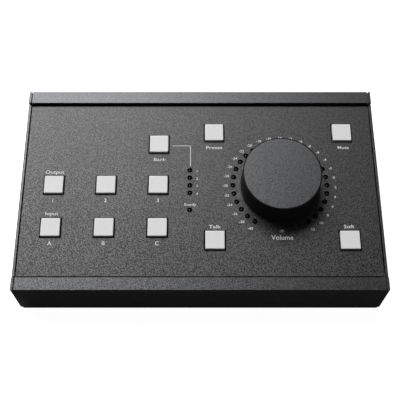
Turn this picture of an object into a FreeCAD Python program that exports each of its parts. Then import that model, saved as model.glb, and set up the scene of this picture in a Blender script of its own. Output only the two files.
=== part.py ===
"""Desktop remote for studio monitors: wedge-shaped metal case, eleven keys and one large level knob.

Frame: millimetres, +Z up, X to the right, Y to the rear, origin under the middle of the case on the
surface that the feet stand on.  The top panel slopes up to the rear.  What is mounted on it is laid
out in the panel's own frame: origin on the panel's top face at the knob's row, X to the right, Y up
the slope, Z square to the panel.
"""
import FreeCAD, Part
import os
import Sketcher

# name, value (millimetres, degrees or a count), what it sets
DRIVING_SIZES = (
    ("width", 215.0, "over both end plates"),
    ("depth", 130.4, "front face to rear face"),
    ("front_height", 31.6, "front rail, without the feet"),
    ("tilt", 2.0, "slope of the panel, degrees"),
    ("row_setback", 66.25, "front edge to the knob's row, along the slope"),
    ("foot_height", 2.5, "rubber foot"),
    ("foot_size", 12.0, "square rubber foot"),
    ("foot_bevel", 1.0, "foot's bevelled lower edges"),
    ("foot_inset_x", 16.0, "foot centre from the side"),
    ("foot_inset_y", 18.0, "foot centre from the front or rear"),
    ("end_thick", 1.5, "end plate sheet"),
    ("end_rise", 0.8, "end plate's middle above the panel"),
    ("end_corner", 2.0, "end plate's lower corners"),
    ("end_bevel", 0.4, "bevel of the end plate's outer edges"),
    ("relief_width", 0.9, "relief notch beside each step of an end plate"),
    ("relief_depth", 1.5, "relief notch below the end plate's middle"),
    ("front_rail_depth", 7.6, "front rail's top face, along the slope"),
    ("rear_rail_depth", 8.1, "rear rail's top face, along the slope"),
    ("rail_rise", 2.0, "rail's top face above the panel"),
    ("rail_wall", 2.5, "rail's outer wall"),
    ("rail_top", 2.0, "rail's top wall"),
    ("step_wall", 1.6, "rail's wall beside the panel"),
    ("ledge_reach", 5.0, "ledge that the panel lies on"),
    ("ledge_thick", 2.0, "ledge that the panel lies on"),
    ("lip_reach", 6.5, "rail's two lips that hold the base pan between them"),
    ("lip_thick", 1.6, "rail's lip above the base pan"),
    ("sill_thick", 1.2, "rail's lip under the base pan"),
    ("rail_edge", 0.25, "rounding of the rail's outer top edge"),
    ("seam", 0.6, "dark seam between an end plate and what it closes"),
    ("seam_depth", 1.6, "how deep the seam is cut into a rail's end"),
    ("port_radius", 2.4, "screw port's round wall"),
    ("port_drop", 2.1, "upper screw port below the panel's top face"),
    ("port_offset", 1.9, "lower screw port from the outer wall and from the lip"),
    ("port_slot", 1.0, "slit that opens each screw port"),
    ("panel_thick", 1.5, "top panel sheet"),
    ("front_gap", 1.3, "groove between the front rail and the panel"),
    ("rear_gap", 1.6, "groove between the rear rail and the panel"),
    ("pan_thick", 1.2, "base pan sheet"),
    ("pan_gap", 0.3, "base pan's clearance at its edges"),
    ("pan_slack", 0.1, "base pan's clearance under the lip"),
    ("pan_wall", 10.0, "base pan's side walls"),
    ("screw_radius", 1.5, "M3 screw"),
    ("screw_length", 7.5, "countersunk screw under its face"),
    ("screw_head", 2.6, "countersunk head's radius"),
    ("screw_fit", 0.05, "screw in its hole, at the radius"),
    ("screw_socket", 1.0, "hexagon socket, half across flats"),
    ("screw_socket_depth", 1.2, "hexagon socket's depth"),
    ("key_pitch_x", 31.3, "columns of keys"),
    ("key_pitch_y", 27.5, "rows of keys"),
    ("key_first_x", -87.65, "left column of keys from the middle of the case"),
    ("key_opening", 13.0, "square opening in the panel"),
    ("key_size", 11.25, "square cap"),
    ("key_proud", 1.5, "cap's top above the panel"),
    ("key_travel", 0.8, "how far a key goes in"),
    ("key_corner", 0.5, "bevel of the cap's upright corners"),
    ("key_edge", 0.3, "bevel of the cap's top edges"),
    ("key_flange", 14.2, "square flange that holds the cap in"),
    ("flange_thick", 1.0, "cap's flange"),
    ("flange_gap", 0.3, "flange below the panel"),
    ("key_wall", 1.3, "cap's walls and roof"),
    ("boss_wall", 1.0, "wall of the boss under the cap that takes the plunger"),
    ("plunger_size", 3.6, "square switch plunger"),
    ("plunger_collar", 5.6, "square collar that keeps the plunger in its switch"),
    ("plunger_fit", 0.05, "plunger in the cap's boss, on each side"),
    ("plunger_gap", 0.3, "running gap of the plunger in the switch"),
    ("switch_size", 12.0, "square switch housing"),
    ("switch_height", 4.2, "switch housing above the board"),
    ("switch_floor", 0.8, "floor of the switch housing"),
    ("switch_roof", 1.3, "roof of the switch housing"),
    ("collar_thick", 0.9, "plunger's collar"),
    ("knob_x", 48.05, "knob's axis from the middle of the case"),
    ("corner_key_x", 39.35, "keys round the knob, from its axis"),
    ("corner_key_front", 21.85, "front keys by the knob, from the panel's front edge"),
    ("corner_key_rear", 19.03, "rear keys by the knob, from the panel's rear edge"),
    ("knob_top", 17.2, "knob's rim above the panel"),
    ("knob_lift", 0.7, "skirt above the panel"),
    ("knob_base_radius", 23.9, "skirt at its foot"),
    ("knob_top_radius", 23.1, "skirt at the rim"),
    ("knob_rim", 0.6, "width of the rim round the disc"),
    ("knob_rim_edge", 0.25, "bevel of the rim's outer edge"),
    ("knob_bore", 21.2, "inside radius of the skirt"),
    ("knob_roof", 2.5, "knob's roof under the disc"),
    ("disc_thick", 0.8, "disc in the knob's top"),
    ("disc_sink", 0.1, "disc's face below the rim"),
    ("disc_fit", 0.05, "disc in its recess, at the radius"),
    ("hub_radius", 6.5, "hub under the knob's roof"),
    ("hub_lift", 5.0, "hub's end above the panel"),
    ("collet_wall", 1.4, "sleeve between the shaft and the hub"),
    ("shaft_radius", 3.0, "encoder shaft"),
    ("shaft_top", 13.6, "encoder shaft's end above the panel"),
    ("shaft_flat", 1.5, "depth of the flat on the shaft"),
    ("shaft_flat_from", 6.0, "start of the flat above the panel"),
    ("shaft_fit", 0.05, "running fit of the shaft, at the radius"),
    ("shaft_foot", 4.0, "shaft's length inside the encoder"),
    ("shaft_collar", 4.2, "collar that keeps the shaft in the encoder"),
    ("collar_gap", 0.3, "running gap round the shaft's collar"),
    ("bush_radius", 3.5, "threaded bush"),
    ("bush_top", 4.4, "bush's end above the panel"),
    ("bush_hole_fit", 0.1, "bush in the panel and the nut, at the radius"),
    ("nut_flats", 10.0, "nut across its flats"),
    ("nut_thick", 2.0, "nut"),
    ("encoder_width", 12.4, "encoder body"),
    ("encoder_depth", 13.2, "encoder body"),
    ("light_ring_radius", 28.3, "circle of the level lights"),
    ("light_count", 27, "level lights"),
    ("light_angle", 11.25, "between two level lights, degrees"),
    ("light_hole_radius", 1.6, "hole for a light"),
    ("light_pin", 2.2, "light guide's eight-sided pin, across its flats"),
    ("light_sink", 0.9, "pin's face below the panel's"),
    ("guide_width", 3.4, "strip that joins the pins"),
    ("guide_thick", 1.4, "strip that joins the pins"),
    ("leg_width", 1.6, "square leg over each light source"),
    ("leg_gap", 0.2, "leg above the light source"),
    ("column_from_keys", 18.95, "column of four lights from the third column of keys"),
    ("column_top_y", 10.0, "highest light of the column"),
    ("column_pitch", 5.0, "between two lights of the column"),
    ("column_count", 4, "lights in the column"),
    ("status_y", -16.1, "status light"),
    ("led_length", 2.0, "light source on the board"),
    ("led_width", 1.2, "light source on the board"),
    ("led_height", 0.9, "light source on the board"),
    ("board_drop", 9.0, "board's top below the panel's top"),
    ("board_thick", 1.6, "circuit board"),
    ("board_side_gap", 6.3, "board to each end plate"),
    ("board_end_gap", 6.0, "board to each rail's outer wall"),
    ("pillar_flats", 5.0, "six-sided pillar between panel and board, across its flats"),
    ("pillar_inset_x", 8.0, "pillars from the board's side edges"),
    ("pillar_inset_y", 9.5, "pillars from the board's front and rear edges"),
    ("pillar_bore_depth", 6.0, "tapped hole in a pillar"),
    ("board_screw_flats", 5.5, "board screw's six-sided head, across its flats"),
    ("board_screw_head", 2.0, "board screw's head"),
    ("board_screw_length", 6.0, "board screw under its head"),
    ("chip_size", 10.0, "controller chip"),
    ("chip_height", 1.4, "controller chip"),
    ("chip_y", 30.0, "controller chip, behind the second column of keys"),
    ("jack_x", 0.0, "rear socket"),
    ("jack_width", 16.0, "rear socket's body"),
    ("jack_height", 13.4, "rear socket's body"),
    ("jack_length", 21.0, "rear socket's body"),
    ("jack_recess", 0.3, "socket's face inside the rear face"),
    ("jack_gap", 0.4, "rail's cut-out round the socket"),
    ("plug_width", 11.8, "socket's mouth"),
    ("plug_height", 8.0, "socket's mouth"),
    ("plug_depth", 13.5, "socket's mouth"),
    ("plug_roof", 2.2, "wall over the socket's mouth"),
    ("latch_width", 6.2, "slot for the plug's latch"),
    ("latch_height", 1.5, "slot for the plug's latch"),
    ("contact_count", 8, "contacts in the socket"),
    ("contact_pitch", 1.02, "between two contacts"),
    ("contact_width", 0.5, "one contact"),
    ("contact_height", 0.6, "one contact"),
    ("contact_length", 9.0, "one contact"),
    ("contact_set_back", 2.5, "contacts behind the socket's face"),
)

doc = FreeCAD.newDocument("MonitorController")

sheet = doc.addObject("Spreadsheet::Sheet", "Size")
for row, (alias, value, meaning) in enumerate(DRIVING_SIZES, start=1):
    sheet.set(f"A{row}", alias)
    sheet.set(f"B{row}", str(value))
    sheet.set(f"C{row}", meaning)
    sheet.setAlias(f"B{row}", alias)
doc.recompute()

COS = "cos(Size.tilt*1deg)"
SIN = "sin(Size.tilt*1deg)"
TAN = "tan(Size.tilt*1deg)"
ROW_Y = f"(-Size.depth/2 + Size.row_setback*{COS} + Size.rail_rise*{SIN})"
ROW_Z = (f"(Size.foot_height + Size.front_height + Size.row_setback*{SIN}"
         f" - Size.rail_rise*{COS})")

# The panel's own frame, from which everything on the panel takes its place.
panel_frame = doc.addObject("Part::LocalCoordinateSystem", "panel_frame")
panel_frame.Placement = FreeCAD.Placement(FreeCAD.Vector(), FreeCAD.Rotation(FreeCAD.Vector(1, 0, 0), 1))
panel_frame.setExpression("Placement.Base.y", ROW_Y)
panel_frame.setExpression("Placement.Base.z", ROW_Z)
panel_frame.setExpression("Placement.Rotation.Angle", "Size.tilt")
doc.recompute()


INNER_HALF_WIDTH = "(Size.width/2 - Size.end_thick)"
PANEL_HALF = f"({INNER_HALF_WIDTH} - Size.seam)"


# ---------------------------------------------------------------- helpers

def value_of(expression):
    """The number that an expression on the sheet stands for."""
    return float(sheet.evalExpression(str(expression)))


def slope_point(along, above):
    """Y and Z of a point on the sloping panel's section, given in the panel's frame."""
    return (f"{ROW_Y} + ({along})*{COS} - ({above})*{SIN}",
            f"{ROW_Z} + ({along})*{SIN} + ({above})*{COS}")


def slope_height(y, above):
    """Z at a given Y of a plane that runs parallel to the panel, that far above it."""
    return f"{ROW_Z} + (({y}) - {ROW_Y})*{TAN} + ({above})/{COS}"


def on_panel(thing, x="0", y="0", z="0"):
    """Places a thing at a point of the panel's frame, square to the panel."""
    thing.setExpression("Placement", f"panel_frame.Placement * placement(vector({x}; {y}; {z});"
                                     " rotation(vector(0; 0; 1); 0))")


def new_body(label):
    body = doc.addObject("PartDesign::Body", label)
    body.Label = label
    body.AllowCompound = True
    return body


def new_sketch(body, name, plane="XY_Plane", offset="0", right="0"):
    """An empty sketch on one of the body's origin planes, moved along its normal and to its right."""
    sketch = body.newObject("Sketcher::SketchObject", name)
    support = [feature for feature in body.Origin.OriginFeatures if feature.Role == plane][0]
    sketch.AttachmentSupport = [(support, "")]
    sketch.MapMode = "FlatFace"
    sketch.setExpression("AttachmentOffset.Base.z", offset)
    sketch.setExpression("AttachmentOffset.Base.x", right)
    return sketch


def fixed_point(geometry, point, x, y):
    """Constraints that hold one point of a sketch at two expressions, each with its expression."""
    return [(Sketcher.Constraint("DistanceX", -1, 1, geometry, point, value_of(x)), x),
            (Sketcher.Constraint("DistanceY", -1, 1, geometry, point, value_of(y)), y)]


def constrain(sketch, wanted):
    """Adds constraints, given as pairs with the expression that drives each, or None."""
    indices = sketch.addConstraint([constraint for constraint, _ in wanted])
    for index, (_, expression) in zip(indices, wanted):
        if expression is not None:
            sketch.setExpression(f"Constraints[{index}]", expression)


def draw_polygon(sketch, corners):
    """Closed outline through corners, each a pair of expressions."""
    points = [FreeCAD.Vector(value_of(x), value_of(y), 0) for x, y in corners]
    count = len(points)
    first = sketch.GeometryCount
    sides = [Part.LineSegment(points[index], points[(index + 1) % count]) for index in range(count)]
    sketch.addGeometry(sides, False)
    wanted = []
    for index, (x, y) in enumerate(corners):
        following = first + (index + 1) % count
        joined = Sketcher.Constraint("Coincident", first + index, 2, following, 1)
        wanted += [(joined, None)] + fixed_point(first + index, 1, x, y)
    constrain(sketch, wanted)


def draw_rectangle(sketch, x, y, size_x, size_y):
    """Rectangle round a centre."""
    draw_polygon(sketch, [(f"{x} + ({side_x})*({size_x})/2", f"{y} + ({side_y})*({size_y})/2")
                          for side_x, side_y in ((-1, -1), (1, -1), (1, 1), (-1, 1))])


def draw_circle(sketch, x, y, radius):
    centre = FreeCAD.Vector(value_of(x), value_of(y), 0)
    circle = Part.Circle(centre, FreeCAD.Vector(0, 0, 1), value_of(radius))
    index = sketch.addGeometry(circle, False)
    size = (Sketcher.Constraint("Radius", index, value_of(radius)), radius)
    constrain(sketch, fixed_point(index, 3, x, y) + [size])


def draw_regular(sketch, x, y, flats, sides):
    """Regular polygon with two of its flats square to the sketch's X axis."""
    half_turn = 180 / sides
    reach = f"({flats})/2/cos({half_turn}deg)"
    turns = [half_turn + 2*half_turn*number for number in range(sides)]
    draw_polygon(sketch, [(f"{x} + {reach}*cos({turn}deg)", f"{y} + {reach}*sin({turn}deg)")
                          for turn in turns])


def pad(body, sketch, length, backwards=False):
    feature = body.newObject("PartDesign::Pad", sketch.Name + "_pad")
    feature.Profile = sketch
    feature.setExpression("Length", length)
    feature.Reversed = backwards
    return feature


def pocket(body, sketch, length, forwards=False):
    """Cuts a sketch into the body, against the sketch's normal unless forwards is set."""
    doc.recompute()
    before = body.Shape.Volume
    feature = body.newObject("PartDesign::Pocket", sketch.Name + "_pocket")
    feature.Profile = sketch
    feature.setExpression("Length", length)
    feature.Reversed = forwards
    doc.recompute()
    if body.Shape.Volume >= before:
        raise RuntimeError(f"{feature.Name} cuts nothing")
    return feature


def revolve(body, sketch):
    """Turns a profile on the XZ plane a full circle about the body's Z axis."""
    feature = body.newObject("PartDesign::Revolution", sketch.Name + "_turned")
    feature.Profile = sketch
    feature.ReferenceAxis = (sketch, ["V_Axis"])
    feature.Angle = 360
    return feature


def turned_body(label, corners):
    """A body of revolution from corners given as (radius, height)."""
    body = new_body(label)
    profile = new_sketch(body, label + "_profile", "XZ_Plane")
    draw_polygon(profile, corners)
    revolve(body, profile)
    return body


def finish_edges(body, kind, size, wanted):
    """Fillets or chamfers the edges of the body's tip whose two ends pass a test."""
    doc.recompute()
    tip = body.Tip
    names = []
    for number, edge in enumerate(tip.Shape.Edges, start=1):
        if wanted(edge.Vertexes[0].Point, edge.Vertexes[-1].Point):
            names.append(f"Edge{number}")
    feature = body.newObject(f"PartDesign::{kind}", f"{body.Name}_{kind.lower()}")
    feature.Base = (tip, names)
    feature.setExpression("Radius" if kind == "Fillet" else "Size", size)
    doc.recompute()
    return feature


def level_at(height):
    """A test for edges that lie at one height of their body."""
    target = value_of(height)
    return lambda first, second: abs(first.z - target) + abs(second.z - target) < 1e-6


def light_pattern(body, features, sketch):
    """Repeats features at every level light, clockwise about the sketch's own origin."""
    pattern = body.newObject("PartDesign::PolarPattern", f"{body.Name}_lights")
    pattern.Originals = features
    pattern.Axis = (sketch, ["N_Axis"])
    pattern.Mode = "Spacing"
    pattern.Reversed = True
    pattern.setExpression("Offset", "Size.light_angle")
    pattern.setExpression("Occurrences", "Size.light_count")
    body.Tip = pattern
    return pattern


def upright(first, second):
    """Whether an edge runs along Z of its body."""
    return abs(first.x - second.x) + abs(first.y - second.y) < 1e-6 < abs(first.z - second.z)


# ---------------------------------------------------------------- the frame: rails and end plates

FRONT, REAR = -1, 1
RAIL_DEPTH = {FRONT: "Size.front_rail_depth", REAR: "Size.rear_rail_depth"}
FRONT_EDGE = "-Size.row_setback"
REAR_EDGE = f"(Size.depth/2 - {ROW_Y} + Size.rail_rise*{SIN})/{COS}"
FRONT_STEP = f"({FRONT_EDGE} + {RAIL_DEPTH[FRONT]})"
REAR_STEP = f"({REAR_EDGE} - {RAIL_DEPTH[REAR]})"
PANEL_FRONT = f"({FRONT_STEP} + Size.front_gap)"
PANEL_REAR = f"({REAR_STEP} - Size.rear_gap)"
PAN_UNDER = "(Size.foot_height + Size.sill_thick)"
LIP_UNDER = f"({PAN_UNDER} + Size.pan_thick + Size.pan_slack)"
LIP_TOP = f"({LIP_UNDER} + Size.lip_thick)"

# Screws and their holes are twelve-sided: a screw has its corners on its circle, a hole its flats.
SCREW_SIDES = 12
ON_CIRCLE = f"cos({180/SCREW_SIDES}deg)"


def rail_edge_point(side, inset, above):
    """Point of a rail's section: inset along the slope from its outer top edge, above the panel."""
    edge = FRONT_EDGE if side == FRONT else REAR_EDGE
    return slope_point(f"{edge} - ({side})*({inset})", above)


def wall_point(side, inset, height):
    """Point of a rail's section: inset from its upright outer face."""
    return f"({side})*(Size.depth/2 - ({inset}))", height


def port_centres(side):
    """Centres of a rail's two screw ports, in Y and Z: the upper one, then the lower one."""
    port_inset = f"(Size.rail_wall + {RAIL_DEPTH[side]} - Size.step_wall)/2"
    upper = rail_edge_point(side, port_inset, "-Size.port_drop")
    lower = wall_point(side, "Size.rail_wall + Size.port_offset", f"{LIP_TOP} + Size.port_offset")
    return upper, lower


def make_rail(label, side):
    """Extruded rail: upright wall, stepped top, ledge for the panel, groove for the pan, screw ports."""
    body = new_body(label)
    depth = RAIL_DEPTH[side]
    ledge_end = f"{depth} + Size.ledge_reach"
    ledge_under = "-Size.panel_thick - Size.ledge_thick"
    step_back = f"{depth} - Size.step_wall"
    roof = "Size.rail_rise - Size.rail_top"
    lip_end = "Size.rail_wall + Size.lip_reach"
    wall_y, _ = wall_point(side, "Size.rail_wall", "0")
    section = [
        wall_point(side, "0", "Size.foot_height"),
        rail_edge_point(side, "0", "Size.rail_rise"),
        rail_edge_point(side, depth, "Size.rail_rise"),
        rail_edge_point(side, depth, "-Size.panel_thick"),
        rail_edge_point(side, ledge_end, "-Size.panel_thick"),
        rail_edge_point(side, ledge_end, ledge_under),
        rail_edge_point(side, step_back, ledge_under),
        rail_edge_point(side, step_back, roof),
        (wall_y, slope_height(wall_y, roof)),
        wall_point(side, "Size.rail_wall", LIP_TOP),
        wall_point(side, lip_end, LIP_TOP),
        wall_point(side, lip_end, LIP_UNDER),
        wall_point(side, "Size.rail_wall", LIP_UNDER),
        wall_point(side, "Size.rail_wall", PAN_UNDER),
        wall_point(side, lip_end, PAN_UNDER),
        wall_point(side, lip_end, "Size.foot_height"),
    ]
    outline = new_sketch(body, label + "_section", "YZ_Plane", f"-{INNER_HALF_WIDTH}")
    draw_polygon(outline, section)
    pad(body, outline, f"2*{INNER_HALF_WIDTH}")

    upper, lower = port_centres(side)
    bosses = new_sketch(body, label + "_ports", "YZ_Plane", f"-{INNER_HALF_WIDTH}")
    for centre in (upper, lower):
        draw_circle(bosses, *centre, "Size.port_radius")
    pad(body, bosses, f"2*{INNER_HALF_WIDTH}")
    bores = new_sketch(body, label + "_port_bores", "YZ_Plane", f"-{INNER_HALF_WIDTH}")
    for centre in (upper, lower):
        draw_circle(bores, *centre, "Size.screw_radius + Size.screw_fit")
    pocket(body, bores, f"2*{INNER_HALF_WIDTH}", forwards=True)
    slits = new_sketch(body, label + "_port_slits", "YZ_Plane", f"-{INNER_HALF_WIDTH}")
    draw_rectangle(slits, upper[0], f"{upper[1]} - Size.port_radius", "Size.port_slot",
                   "2*Size.port_radius")
    draw_rectangle(slits, f"{lower[0]} - ({side})*Size.port_radius", lower[1], "2*Size.port_radius",
                   "Size.port_slot")
    pocket(body, slits, f"2*{INNER_HALF_WIDTH}", forwards=True)

    top_y, top_z = [value_of(part) for part in rail_edge_point(side, "0", "Size.rail_rise")]

    def outer_top_edge(first, second):
        return all(abs(end.y - top_y) + abs(end.z - top_z) < 1e-4 for end in (first, second))

    finish_edges(body, "Fillet", "Size.rail_edge", outer_top_edge)

    # each end's top is cut back a little, which leaves the seam beside the end plate
    for hand in (-1, 1):
        seam = new_sketch(body, f"{label}_seam_{'left' if hand < 0 else 'right'}", "YZ_Plane",
                          f"({hand})*({INNER_HALF_WIDTH} - Size.seam)")
        over = "Size.rail_rise + Size.seam_depth"
        under = "Size.rail_rise - Size.seam_depth"
        draw_polygon(seam, [rail_edge_point(side, "-Size.seam_depth", under),
                            rail_edge_point(side, f"{depth} + Size.seam_depth", under),
                            rail_edge_point(side, f"{depth} + Size.seam_depth", over),
                            rail_edge_point(side, "-Size.seam_depth", over)])
        pocket(body, seam, "Size.seam", forwards=hand > 0)
    return body


front_rail = make_rail("front_rail", FRONT)
rear_rail = make_rail("rear_rail", REAR)

# The rear socket hangs under the board, square to it, with its face just inside the rear face.
JACK_TOP = "(-Size.board_drop - Size.board_thick)"
JACK_BOTTOM = f"({JACK_TOP} - Size.jack_height)"
JACK_FACE = f"((Size.depth/2 - {ROW_Y} + {JACK_BOTTOM}*{SIN})/{COS} - Size.jack_recess)"

cut_out = new_sketch(rear_rail, "socket_cut_out", "XZ_Plane", "-Size.depth/2")
rear_face = "Size.depth/2"
cut_top = f"{slope_height(rear_face, JACK_TOP)} + Size.jack_gap"
cut_bottom = f"{slope_height(rear_face, JACK_BOTTOM)} - Size.jack_gap"
cut_left = "Size.jack_x - Size.jack_width/2 - Size.jack_gap"
cut_right = "Size.jack_x + Size.jack_width/2 + Size.jack_gap"
draw_polygon(cut_out, [(cut_left, cut_bottom), (cut_right, cut_bottom), (cut_right, cut_top),
                       (cut_left, cut_top)])
pocket(rear_rail, cut_out, "2*Size.rail_wall", forwards=True)


COUNTERSINK_TAPER = -45


def make_end_plate(label, hand):
    """Flat plate with a stepped top edge, held by four countersunk screws."""
    body = new_body(label)
    relief = "Size.end_rise - Size.relief_depth"
    front_notch = f"{FRONT_STEP} + Size.relief_width"
    rear_notch = f"{REAR_STEP} - Size.relief_width"
    outline = new_sketch(body, label + "_outline", "YZ_Plane", f"({hand})*Size.width/2")
    draw_polygon(outline, [
        wall_point(FRONT, "0", "Size.foot_height"),
        slope_point(FRONT_EDGE, "Size.rail_rise"),
        slope_point(FRONT_STEP, "Size.rail_rise"),
        slope_point(FRONT_STEP, relief),
        slope_point(front_notch, relief),
        slope_point(front_notch, "Size.end_rise"),
        slope_point(rear_notch, "Size.end_rise"),
        slope_point(rear_notch, relief),
        slope_point(REAR_STEP, relief),
        slope_point(REAR_STEP, "Size.rail_rise"),
        slope_point(REAR_EDGE, "Size.rail_rise"),
        wall_point(REAR, "0", "Size.foot_height"),
    ])
    pad(body, outline, "Size.end_thick", backwards=hand > 0)
    low_corner = level_at("Size.foot_height")
    half_depth = value_of("Size.depth/2")
    finish_edges(body, "Fillet", "Size.end_corner", lambda first, second: low_corner(first, second)
                 and abs(abs(first.y) - half_depth) + abs(first.y - second.y) < 1e-3)

    holes = new_sketch(body, label + "_holes", "YZ_Plane", f"({hand})*Size.width/2")
    countersinks = new_sketch(body, label + "_countersinks", "YZ_Plane", f"({hand})*Size.width/2")
    for side in (FRONT, REAR):
        for centre in port_centres(side):
            draw_regular(holes, *centre, "2*(Size.screw_radius + Size.screw_fit)", SCREW_SIDES)
            draw_regular(countersinks, *centre, "2*(Size.screw_head + Size.screw_fit)", SCREW_SIDES)
    pocket(body, holes, "Size.end_thick", forwards=hand < 0)
    sunk = pocket(body, countersinks, "Size.screw_head - Size.screw_radius", forwards=hand < 0)
    sunk.TaperAngle = COUNTERSINK_TAPER

    # the plate's outline, but not the two notches with their steps
    outer_x = value_of(f"({hand})*Size.width/2")
    step_length = value_of("Size.rail_rise + Size.relief_depth")

    def outer_edge(first, second):
        outside = abs(first.x - outer_x) + abs(second.x - outer_x) < 1e-6
        return outside and (second - first).Length > step_length

    finish_edges(body, "Chamfer", "Size.end_bevel", outer_edge)
    return body


left_end_plate = make_end_plate("left_end_plate", -1)
right_end_plate = make_end_plate("right_end_plate", 1)


# ---------------------------------------------------------------- screws

# Eight countersunk M3 screws with hexagon sockets, flush with the end plates, four on each side.
end_plate_screws = new_body("end_plate_screws")
for hand, name in ((-1, "left"), (1, "right")):
    heads, shanks, sockets = [new_sketch(end_plate_screws, f"{name}_screw_{detail}", "YZ_Plane",
                                         f"({hand})*Size.width/2")
                              for detail in ("heads", "shanks", "sockets")]
    for centre in port_centres(FRONT) + port_centres(REAR):
        draw_regular(heads, *centre, f"2*Size.screw_head*{ON_CIRCLE}", SCREW_SIDES)
        draw_regular(shanks, *centre, f"2*Size.screw_radius*{ON_CIRCLE}", SCREW_SIDES)
        draw_regular(sockets, *centre, "2*Size.screw_socket", 6)
    cones = pad(end_plate_screws, heads, f"(Size.screw_head - Size.screw_radius)*{ON_CIRCLE}",
                backwards=hand > 0)
    cones.TaperAngle = COUNTERSINK_TAPER
    pad(end_plate_screws, shanks, "Size.screw_length", backwards=hand > 0)
    pocket(end_plate_screws, sockets, "Size.screw_socket_depth", forwards=hand < 0)


# ---------------------------------------------------------------- base pan and feet

base_pan = new_body("base_pan")
pan_outline = new_sketch(base_pan, "pan_outline", "XY_Plane", PAN_UNDER)
PAN_WIDTH = f"2*({INNER_HALF_WIDTH} - Size.pan_gap)"
draw_rectangle(pan_outline, "0", "0", PAN_WIDTH, "Size.depth - 2*(Size.rail_wall + Size.pan_gap)")
pad(base_pan, pan_outline, "Size.pan_thick")
pan_walls = new_sketch(base_pan, "pan_walls", "XY_Plane", PAN_UNDER)
PAN_WALL_LENGTH = "Size.depth - 2*(Size.rail_wall + Size.lip_reach + Size.pan_gap)"
for hand in (-1, 1):
    draw_rectangle(pan_walls, f"({hand})*({PAN_WIDTH} - Size.pan_thick)/2", "0", "Size.pan_thick",
                   PAN_WALL_LENGTH)
pad(base_pan, pan_walls, "Size.pan_wall")

rubber_feet = new_body("rubber_feet")
foot_outlines = new_sketch(rubber_feet, "foot_outlines")
for hand in (-1, 1):
    for side in (FRONT, REAR):
        draw_rectangle(foot_outlines, f"({hand})*(Size.width/2 - Size.foot_inset_x)",
                       f"({side})*(Size.depth/2 - Size.foot_inset_y)", "Size.foot_size",
                       "Size.foot_size")
pad(rubber_feet, foot_outlines, PAN_UNDER)
finish_edges(rubber_feet, "Chamfer", "Size.foot_bevel", level_at("0"))


# ---------------------------------------------------------------- where the keys and lights are

COLUMNS = [f"(Size.key_first_x + {number}*Size.key_pitch_x)" for number in range(3)]
CORNER_FRONT = f"({PANEL_FRONT} + Size.corner_key_front)"
CORNER_REAR = f"({PANEL_REAR} - Size.corner_key_rear)"
KEYS = {
    "1": (COLUMNS[0], "0"),
    "2": (COLUMNS[1], "0"),
    "3": (COLUMNS[2], "0"),
    "a": (COLUMNS[0], "-Size.key_pitch_y"),
    "b": (COLUMNS[1], "-Size.key_pitch_y"),
    "c": (COLUMNS[2], "-Size.key_pitch_y"),
    "bank": (COLUMNS[2], "Size.key_pitch_y"),
    "preset": (f"Size.knob_x - Size.corner_key_x", CORNER_REAR),
    "mute": (f"Size.knob_x + Size.corner_key_x", CORNER_REAR),
    "talk": (f"Size.knob_x - Size.corner_key_x", CORNER_FRONT),
    "soften": (f"Size.knob_x + Size.corner_key_x", CORNER_FRONT),
}
LIGHT_SWEEP = "(Size.light_count - 1)*Size.light_angle"
FIRST_LIGHT = f"((90 + {LIGHT_SWEEP}/2)*1deg)"
# the quietest level's light, lower left of the knob, from the knob's axis
FIRST_LIGHT_XY = (f"Size.light_ring_radius*cos({FIRST_LIGHT})",
                  f"Size.light_ring_radius*sin({FIRST_LIGHT})")
COLUMN_YS = [f"Size.column_top_y - {number}*Size.column_pitch"
             for number in range(int(value_of("Size.column_count")))]
COLUMN_X = f"({COLUMNS[2]} + Size.column_from_keys)"
COLUMN_LIGHTS = [(COLUMN_X, light_y) for light_y in COLUMN_YS]
STATUS_LIGHT = [(COLUMN_X, "Size.status_y")]


# ---------------------------------------------------------------- top panel

top_panel = new_body("top_panel")
on_panel(top_panel)
panel_outline = new_sketch(top_panel, "panel_outline")
draw_polygon(panel_outline, [(f"-{PANEL_HALF}", PANEL_FRONT), (PANEL_HALF, PANEL_FRONT),
                             (PANEL_HALF, PANEL_REAR), (f"-{PANEL_HALF}", PANEL_REAR)])
pad(top_panel, panel_outline, "Size.panel_thick", backwards=True)

key_openings = new_sketch(top_panel, "key_openings")
for key_x, key_y in KEYS.values():
    draw_rectangle(key_openings, key_x, key_y, "Size.key_opening", "Size.key_opening")
pocket(top_panel, key_openings, "Size.panel_thick")

# the thirty-two small holes for the lights are sixteen-sided, with their flats on the circle
LIGHT_HOLE_SIDES = 16
round_holes = new_sketch(top_panel, "round_holes")
draw_circle(round_holes, "Size.knob_x", "0", "Size.bush_radius + Size.bush_hole_fit")
for x, y in COLUMN_LIGHTS + STATUS_LIGHT:
    draw_regular(round_holes, x, y, "2*Size.light_hole_radius", LIGHT_HOLE_SIDES)
pocket(top_panel, round_holes, "Size.panel_thick")
level_hole = new_sketch(top_panel, "level_hole", right="Size.knob_x")
draw_regular(level_hole, *FIRST_LIGHT_XY, "2*Size.light_hole_radius", LIGHT_HOLE_SIDES)
light_pattern(top_panel, [pocket(top_panel, level_hole, "Size.panel_thick")], level_hole)


# ---------------------------------------------------------------- keys

FLANGE_TOP = "(-Size.panel_thick - Size.flange_gap)"
FLANGE_BOTTOM = f"({FLANGE_TOP} - Size.flange_thick)"
BOARD_TOP = "(-Size.board_drop)"
SWITCH_TOP = f"({BOARD_TOP} + Size.switch_height)"
# at full travel the boss and the flange stop one running gap above the switch
BOSS_BOTTOM = f"({SWITCH_TOP} + Size.key_travel + Size.plunger_gap)"
KEY_ROOF = "(Size.key_proud - Size.key_wall)"
COLLAR_TOP = f"({SWITCH_TOP} - Size.switch_roof - Size.plunger_gap)"
COLLAR_BOTTOM = f"({COLLAR_TOP} - Size.collar_thick)"


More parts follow.
